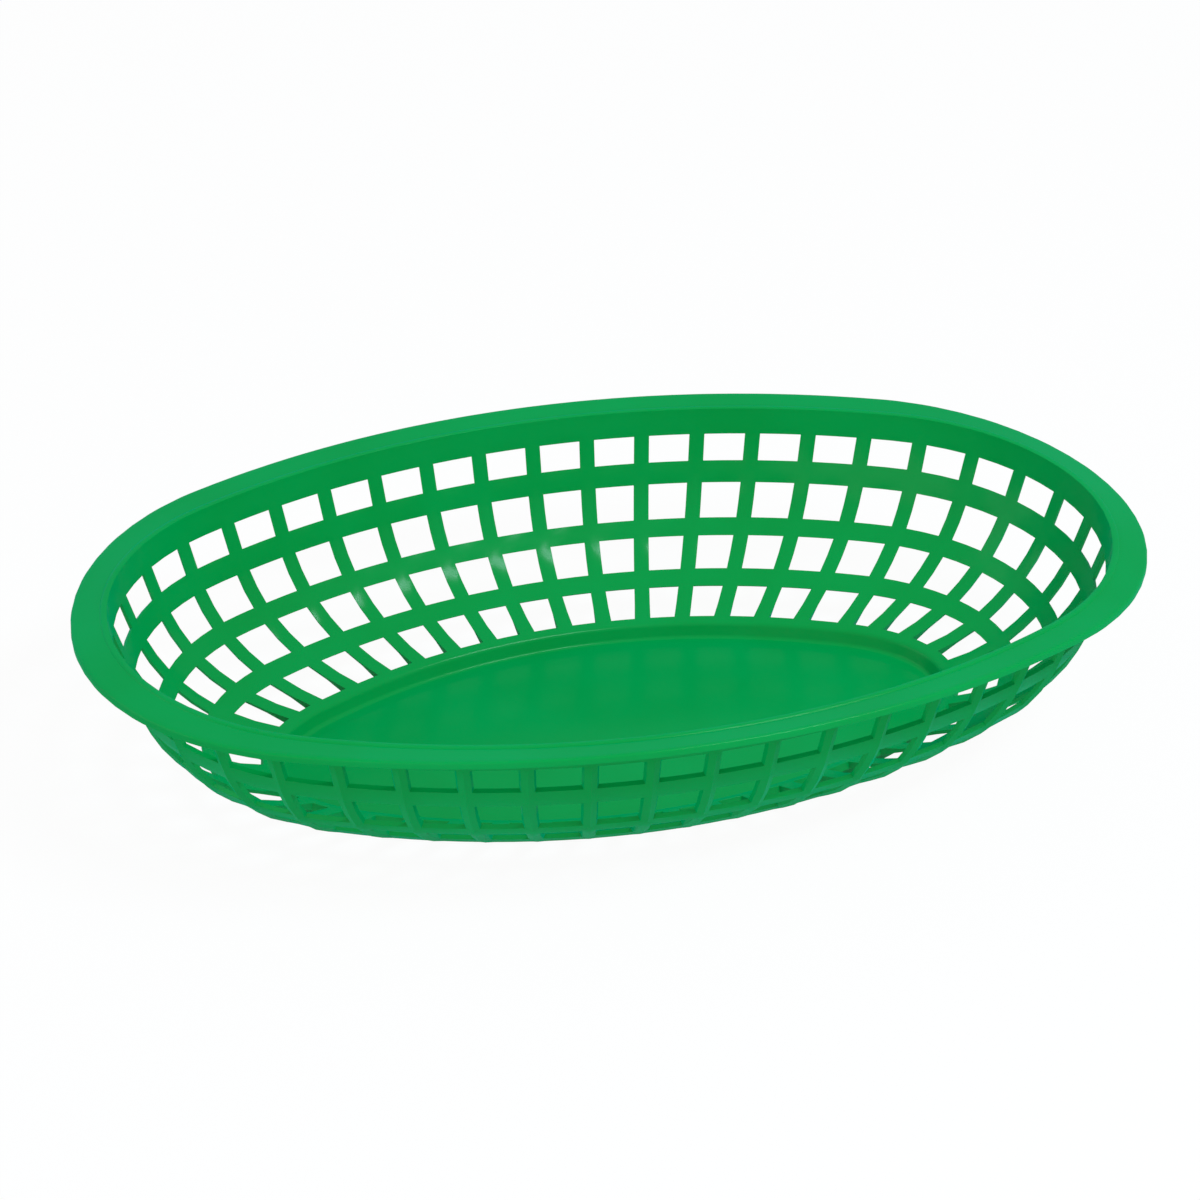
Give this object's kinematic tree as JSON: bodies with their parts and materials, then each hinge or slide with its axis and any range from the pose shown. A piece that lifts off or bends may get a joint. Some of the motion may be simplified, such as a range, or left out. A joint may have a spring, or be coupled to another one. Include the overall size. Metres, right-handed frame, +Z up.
{
  "type": "plastic food basket",
  "caption": "Oval open lattice food basket of green plastic with a closed flat floor, a bowl-shaped ribbed wall and an outward-turned rim, for serving lined fast food",
  "frame": {"origin": "centre of the plan, at the underside of the floor panel that the basket stands on", "axes": "+Z up out of the mouth, +X along the long side, +Y across the short side"},
  "size_m": [0.2596, 0.1634, 0.0484],
  "materials": {
    "green_plastic": "smooth glossy injection-moulded polypropylene"
  },
  "bodies": {
    "root": {"floor_panel": "green_plastic", "base_step": "green_plastic", "base_ledge": "green_plastic", "hoop_lower": "green_plastic", "hoop_middle": "green_plastic", "hoop_upper": "green_plastic", "wall_band": "green_plastic", "rim_flange": "green_plastic", "rib_01": "green_plastic", "rib_02": "green_plastic", "rib_03": "green_plastic", "rib_04": "green_plastic", "rib_05": "green_plastic", "rib_06": "green_plastic", "rib_07": "green_plastic", "rib_08": "green_plastic", "rib_09": "green_plastic", "rib_10": "green_plastic", "rib_11": "green_plastic", "rib_12": "green_plastic", "rib_13": "green_plastic", "rib_14": "green_plastic", "rib_15": "green_plastic", "rib_16": "green_plastic", "rib_17": "green_plastic", "rib_18": "green_plastic", "rib_19": "green_plastic", "rib_20": "green_plastic", "rib_21": "green_plastic", "rib_22": "green_plastic", "rib_23": "green_plastic", "rib_24": "green_plastic", "rib_25": "green_plastic", "rib_26": "green_plastic", "rib_27": "green_plastic", "rib_28": "green_plastic", "rib_29": "green_plastic", "rib_30": "green_plastic", "rib_31": "green_plastic", "rib_32": "green_plastic", "rib_33": "green_plastic", "rib_34": "green_plastic", "rib_35": "green_plastic", "rib_36": "green_plastic", "rib_37": "green_plastic", "rib_38": "green_plastic", "rib_39": "green_plastic", "rib_40": "green_plastic", "rib_41": "green_plastic", "rib_42": "green_plastic", "rib_43": "green_plastic", "rib_44": "green_plastic"}
  },
  "joints": []
}
